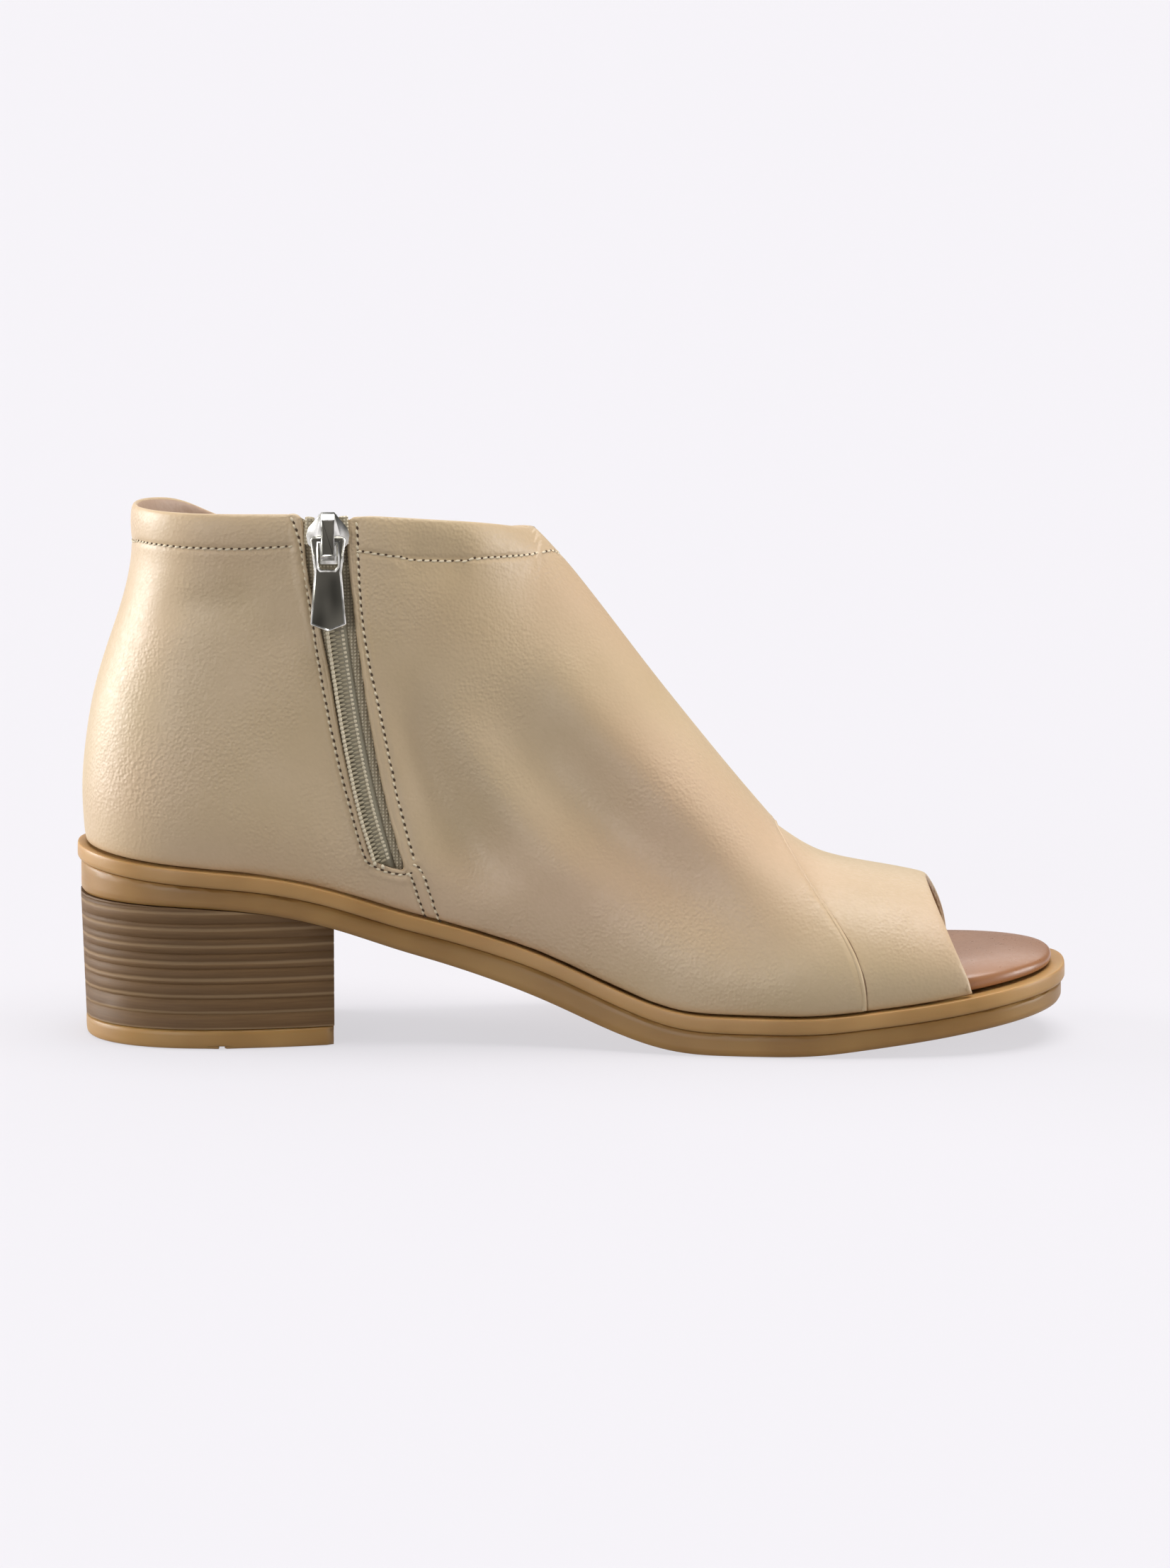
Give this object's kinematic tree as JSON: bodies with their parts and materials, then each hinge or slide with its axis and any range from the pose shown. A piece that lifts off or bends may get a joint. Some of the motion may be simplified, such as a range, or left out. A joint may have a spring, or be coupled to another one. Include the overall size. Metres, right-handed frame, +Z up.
{
  "type": "open-toe ankle sandal",
  "caption": "Left ankle-height sandal in beige leather with an open toe, an inner side zip and a stacked block heel.",
  "frame": {"origin": "middle of the heel's ground face, on the ground plane", "axes": "+X to the inner side of the foot, +Y to the toe, +Z up"},
  "size_m": [0.0888, 0.255, 0.1376],
  "materials": {
    "sole_rubber": "satin",
    "welt_rubber": "satin",
    "stacked_heel": "satin",
    "insole_leather": "satin",
    "upper_leather": "satin",
    "zip_fabric": "matte",
    "zip_nylon": "matte",
    "zip_metal": "polished",
    "pull_metal": "polished"
  },
  "bodies": {
    "shoe": {"outsole": "sole_rubber", "welt": "welt_rubber", "heel_block": "stacked_heel", "heel_lift": "sole_rubber", "insole": "insole_leather", "upper": "upper_leather", "zip_tape": "zip_fabric", "zip_coil": "zip_nylon", "zip_slider": "zip_metal"},
    "pull_tab": {"zip_pull": "pull_metal"}
  },
  "joints": [
    {"name": "pull_swing", "type": "hinge", "parent": "shoe", "child": "pull_tab", "pos_m": [0.03364, 0.03254, 0.13068], "axis": [0.0286, -0.9996, 0], "range_deg": [0, 165]}
  ]
}
